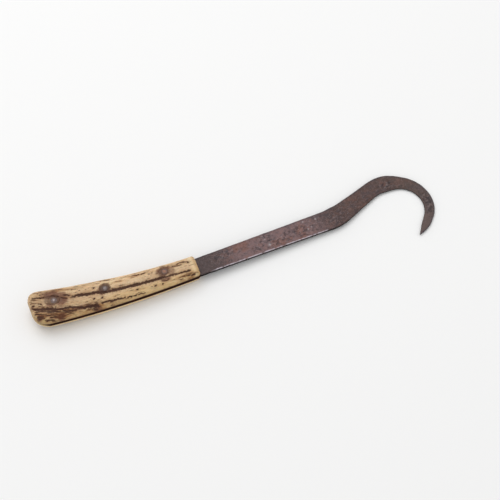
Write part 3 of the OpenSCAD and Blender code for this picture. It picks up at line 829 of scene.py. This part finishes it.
# %% Finishes
class Finish:
    """A new Principled material, with short names for the nodes that this scene uses."""

    def __init__(self, name, **fixed):
        self.material = bpy.data.materials.new(name)
        self.material.use_nodes = True
        self.tree = self.material.node_tree
        self.shader = self.tree.nodes["Principled BSDF"]
        for slot, value in fixed.items():
            self.shader.inputs[slot.replace("_", " ")].default_value = value

    def node(self, kind, settings=None, out=0, **slots):
        """Any node: its type, its settings, which are set first, and the values of its sockets."""
        node = self.tree.nodes.new("ShaderNode" + kind)
        for key, value in (settings or {}).items():
            setattr(node, key, value)
        for slot, value in slots.items():
            plug(self.tree, node.inputs[slot.replace("_", " ")], value)
        return Wire(self.tree, node.outputs[out])

    def mask(self, name):
        """The mask of that name on the vertices."""
        return self.node("Attribute", {"attribute_name": name}, out="Fac")

    def noise(self, scale, detail=3.0, stretch=(1, 1, 1), rough=0.55, place=None):
        """Noise from 0 to 1 over the object, or over a place of one's own, stretched along X."""
        place = place or self.node("TexCoord", out="Object")
        spot = self.node("Mapping", Vector=place, Scale=stretch)
        return self.node("TexNoise", Vector=spot, Scale=scale, Detail=detail, Roughness=rough)

    def ramp(self, value, lo, hi, to_lo=0.0, to_hi=1.0):
        """value from lo..hi to to_lo..to_hi with a smooth step."""
        return self.node("MapRange", {"interpolation_type": "SMOOTHSTEP"}, Value=value,
                         From_Min=lo, From_Max=hi, To_Min=to_lo, To_Max=to_hi)

    def coats(self, base, *layers):
        """A base colour with further coats over it, each as (how strongly, colour)."""
        under = colour(*base)
        for strength, tint in layers:
            mix = self.tree.nodes.new("ShaderNodeMix")
            mix.data_type = "RGBA"
            for slot, value in ((0, strength), (6, under), (7, colour(*tint))):
                plug(self.tree, mix.inputs[slot], value)
            under = Wire(self.tree, mix.outputs[2])
        return under

    def bump(self, height, strength, distance):
        """A normal for the light, from relief too fine to carve."""
        return self.node("Bump", Height=height, Strength=strength, Distance=distance)

    def paint(self, pieces, **slots):
        """Feed the sockets of the shader and give the pieces this material."""
        for slot, value in slots.items():
            plug(self.tree, self.shader.inputs[slot.replace("_", " ")], value)
        for piece in pieces:
            piece.data.materials.clear()
            piece.data.materials.append(self.material)
        print(f"{self.material.name}: {len(self.tree.nodes)} nodes")


# %% [markdown]
# ## Old iron
# The iron has not been bright for a hundred years. Its skin is a thin brown oxide, plum-coloured
# where it was handled, redder where it was damp and grey-blue where the scale of the forge is left.
# Only the corners are rubbed back to metal. The oxide is not a metal to light, so Metallic stays low
# except at those corners.

# %% Brown patina for the blade
iron = Finish("brown_patina_iron", Specular_IOR_Level=0.25)
cloud = iron.noise(95, 4, (0.7, 1, 1), 0.6)
mottle = iron.noise(420, 5, (0.8, 1, 1), 0.65)
speck = iron.noise(1300, 3, (1, 1, 1), 0.6)
veins = (iron.noise(260, 3, (1, 1, 1), 0.5) - 0.5).math("ABSOLUTE")
pit, raised, scale_left = iron.mask("pits"), iron.mask("specks"), iron.mask("forge_scale")
hook, handle_end, mid_shank = iron.mask("hook"), iron.mask("near_handle"), iron.mask("mid_shank")
in_handle, flank = iron.mask("in_handle"), iron.mask("flank")
shine = iron.ramp(iron.mask("near_corner"), 0.45, 0.95)
patina = iron.coats(
    (78, 58, 53),
    (mid_shank, (117, 93, 93)),
    (hook * 0.9, (79, 66, 61)),
    # grey-blue and red clouds
    (iron.ramp(cloud, 0.47, 0.34) * 0.5, (68, 58, 62)),
    (iron.ramp(cloud, 0.51, 0.66) * (0.65 - hook * 0.55 - handle_end * 0.4), (120, 78, 64)),
    # light and dark mottling
    (iron.ramp(mottle, 0.50, 0.66) * (0.25 + mid_shank * 0.25 - hook * 0.1), (130, 96, 88)),
    (iron.ramp(mottle, 0.48, 0.34) * (0.5 - hook * 0.3), (58, 49, 54)),
    (handle_end * 0.75, (71, 60, 61)),
    # pale veins, then light and dark specks
    (iron.ramp(veins, 0.035, 0.01) * (scale_left * 0.25 + 0.1), (150, 134, 136)),
    (iron.ramp(speck, 0.58, 0.70) * 0.35, (150, 130, 128)),
    (iron.ramp(speck, 0.42, 0.30) * 0.3, (48, 40, 44)),
    # scale of the forge, raised specks rubbed pale, the point, and the bottom of the pits
    (scale_left * iron.ramp(mottle, 0.55, 0.40) * 0.65, (50, 44, 50)),
    (iron.ramp(raised, 0.4, 0.9) * (0.4 - hook * 0.3), (158, 148, 148)),
    (iron.mask("point") * 0.55, (100, 84, 80)),
    (pit * 0.6, (46, 36, 38)),
    # the dark spine corner, painted shade on the narrow sides and the face below, painted glints,
    # and the rubbed near corner
    (iron.mask("spine_edge") * 0.6, (50, 45, 56)),
    (flank * 0.95, (14, 9, 11)),
    (iron.mask("painted_glints") * 0.65, (196, 186, 188)),
    (shine, (190, 182, 191)),
    # the tang in the seam of the handle, painted dark as rust and as shade in the gap, and paler
    # and browner at the butt
    (in_handle, (42, 12, 0)),
    (iron.mask("paler_butt_seam") * 0.7, (116, 86, 58)),
)
gloss = iron.ramp(mottle, 0.3, 0.75, 0.46, 0.60) + pit * 0.15 - shine * 0.2
iron.paint([blade], Base_Color=patina, Roughness=gloss + (in_handle + flank) * 0.4,
           Metallic=shine * 0.6, Normal=iron.bump(mottle * 0.6 + speck * 0.4, 0.6, 0.0003))

# %% [markdown]
# ## Antler
# Polished by hands, antler is tan in the middle of the scale, peach towards the spine and olive
# and darker low down the side, with cream and brown patches all over. The furrows keep the dark skin
# of the antler. Light goes a short way in, so a little subsurface softens it.

# %% Worn antler
antler = Finish("worn_antler", Subsurface_Weight=0.08, Subsurface_Scale=0.002,
                Specular_IOR_Level=0.25)
along = antler.node("Attribute", {"attribute_name": "fibres"}, out="Vector")
streak = antler.noise(520, 5, (0.10, 1, 1), 0.6, along)
hair = antler.noise(1500, 4, (0.10, 1, 1), 0.6, along)
patch = antler.noise(110, 4, (0.4, 1, 1), 0.55, along)
grit = antler.noise(1000, 4, (0.6, 1, 1), 0.6, along)
furrow, rust, butt_end = antler.mask("furrow"), antler.mask("rust"), antler.mask("butt_end")
spine_side, height = antler.mask("spine_side"), antler.mask("height")
skin = antler.coats(
    # from the near side to the spine
    (218, 186, 136),
    (antler.ramp(spine_side, 0.05, 0.45), (208, 177, 140)),
    (antler.ramp(spine_side, 0.45, 0.8), (226, 193, 151)),
    # broad patches, streaks and hairs along the fibres
    (antler.ramp(patch, 0.50, 0.68) * 0.65, (226, 201, 160)),
    (antler.ramp(patch, 0.48, 0.32) * 0.55, (184, 148, 104)),
    (antler.ramp(streak, 0.52, 0.70) * 0.4, (168, 126, 82)),
    (antler.ramp(streak, 0.46, 0.30) * 0.4, (232, 208, 172)),
    (antler.ramp(hair, 0.52, 0.66) * (butt_end * 0.5 + 0.5) * 0.6, (148, 112, 78)),
    # olive and darker low down the side, and dark grit
    (antler.ramp(height, 0.70, 0.35) * 0.5, (192, 162, 106)),
    (antler.ramp(grit, 0.58, 0.72) * 0.5, (128, 92, 64)),
    # weathered skin and the pale crests that stand up in it
    (antler.mask("weather") * antler.ramp(streak, 0.35, 0.58) * 0.85, (122, 84, 54)),
    (antler.mask("crest") * 0.6, (226, 196, 150)),
    # painted shade on the rounded front end, painted light on the band behind it, the stains and
    # the darker butt
    (antler.mask("front_end_shade") * 0.55, (186, 150, 104)),
    (antler.mask("collar_light") * 0.6, (232, 208, 164)),
    (antler.mask("ochre") * antler.ramp(streak, 0.3, 0.6) * 0.8, (158, 104, 52)),
    (butt_end * 0.2, (146, 112, 74)),
    (antler.mask("halo") * 0.5, (120, 76, 42)),
    (rust * antler.ramp(grit, 0.25, 0.6, 0.75, 1.0) * 0.95, (102, 58, 38)),
    (antler.mask("grime") * 0.75, (100, 74, 60)),
    # the dark ring round the middle rivet, rust with painted shade on the wall of its hollow, and
    # painted shade with iron stain in the hollows of all three
    (antler.mask("ring") * rust * 0.75, (62, 36, 26)),
    (antler.mask("seat") * 0.5, (100, 74, 60)),
    # the carved marks, painted light on the near edge of the back scale, and the seam, painted dark
    # as rust and as shade in the gap
    (antler.mask("worm") * 0.8, (82, 46, 22)),
    (antler.ramp(furrow, 0.10, 0.60) * 0.95, (66, 39, 28)),
    (antler.mask("painted_light_edge") * 0.7, (232, 206, 160)),
    (antler.mask("seam_rust_and_shade"), (58, 20, 4)),
)
antler.paint([front_scale, back_scale], Base_Color=skin,
             Roughness=antler.ramp(streak, 0.3, 0.7, 0.42, 0.55) + furrow * 0.3,
             Normal=antler.bump(streak * 0.5 + hair * 0.2 + grit * 0.3, 0.4, 0.0003))

# %% [markdown]
# ## Rivet iron
# The heads are greyer than the blade, with rust in their pits, and painted shade with rust round
# their rims where they meet their hollows. A worn spot on top of each dome is made metallic and
# painted near white as a highlight. One material does for all three, because the masks already say
# how far each head has got.

# %% Rusty rivet iron
pin = Finish("rusted_rivet_iron", Specular_IOR_Level=0.35)
fleck = pin.noise(1400, 4, (1, 1, 1), 0.6)
worn_spot_highlight = pin.mask("shine")
head = pin.coats(
    (104, 88, 84),
    (pin.ramp(fleck, 0.4, 0.65), (136, 122, 118)),
    # painted shade with rust round the rim
    (pin.mask("rim") * 0.8, (72, 54, 46)),
    (pin.mask("pits") * 0.7, (80, 52, 42)),
    (pin.mask("rust") * pin.ramp(fleck, 0.3, 0.55), (156, 106, 78)),
    # the worn spot on top, painted near white as a highlight
    (worn_spot_highlight, (196, 190, 192)),
)
pin.paint(rivets, Base_Color=head, Roughness=pin.ramp(fleck, 0.3, 0.7, 0.55, 0.42),
          Metallic=worn_spot_highlight * 0.8, Normal=pin.bump(fleck, 0.3, 0.0002))

# %% [markdown]
# ## Table, light and camera
# The tool lies on a white sheet, which is so large that its edge is out of sight. It is matt like
# paper, so all that shows on it is the soft shadow.

# %% The white table
bpy.ops.object.select_all(action="DESELECT")
bpy.ops.mesh.primitive_plane_add(size=20)
table = bpy.context.object
table.name = "table_top"
sheet = Finish("white_sheet", Roughness=0.9, Specular_IOR_Level=0.1)
sheet.paint([table], Base_Color=(0.93, 0.93, 0.927))

# %% [markdown]
# The light is a bright room with one broad window behind the tool, so the shadow is soft and falls
# towards the camera. A white world is the room, and a square lamp the window. Rays that look at the
# world itself, straight or mirrored or through something, see it a little brighter than the light
# it gives, so the background can be pale while the tool keeps its tones.

# %% Soft light
ROOM_LIGHT, SEEN_BRIGHTER = 0.74, 0.18
world = bpy.data.worlds.new("studio")
bpy.context.scene.world = world
world.use_nodes = True
sky = world.node_tree
sky.nodes["Background"].inputs["Color"].default_value = (1, 1, 1, 1)
light_path = sky.nodes.new("ShaderNodeLightPath")
looked_at, mirrored, seen_through = (Wire(sky, light_path.outputs[f"Is {kind} Ray"])
                                     for kind in ("Camera", "Glossy", "Transmission"))
seen = (looked_at + mirrored).math("ADD", seen_through, clamp=True)
plug(sky, sky.nodes["Background"].inputs["Strength"], seen * SEEN_BRIGHTER + ROOM_LIGHT)

WINDOW_AT, WINDOW_WIDTH, WINDOW_WATTS = Vector((-0.1, 0.8, 1.5)), 1.3, 10
bpy.ops.object.light_add(type="AREA", location=WINDOW_AT)
window = bpy.context.object
window.name = "window"
window.data.shape, window.data.size, window.data.energy = "SQUARE", WINDOW_WIDTH, WINDOW_WATTS
window.rotation_euler = (-WINDOW_AT).to_track_quat("-Z", "Y").to_euler()

# %% [markdown]
# The camera stands where the photographer stood: high above the tool and a little to its left. The
# lens is long, so the near and the far end come out at almost the same scale.

# %% The camera
AZIMUTH, ELEVATION, DISTANCE = math.radians(-23.5863), math.radians(60), 0.74658
LOOKS_AT = Vector((0.00937, 0.00803, 0))
back = Vector((math.sin(AZIMUTH) * math.cos(ELEVATION), -math.cos(AZIMUTH) * math.cos(ELEVATION),
               math.sin(ELEVATION)))
camera_data = bpy.data.cameras.new("camera")
camera = bpy.data.objects.new("camera", camera_data)
bpy.context.scene.collection.objects.link(camera)
camera.location = LOOKS_AT + back * DISTANCE
camera.rotation_euler = back.to_track_quat("Z", "Y").to_euler()
camera_data.lens, camera_data.sensor_width = 75, 36
camera_data.clip_start, camera_data.clip_end = 0.01, 20
bpy.context.scene.camera = camera
bpy.context.scene.view_settings.view_transform = "Standard"
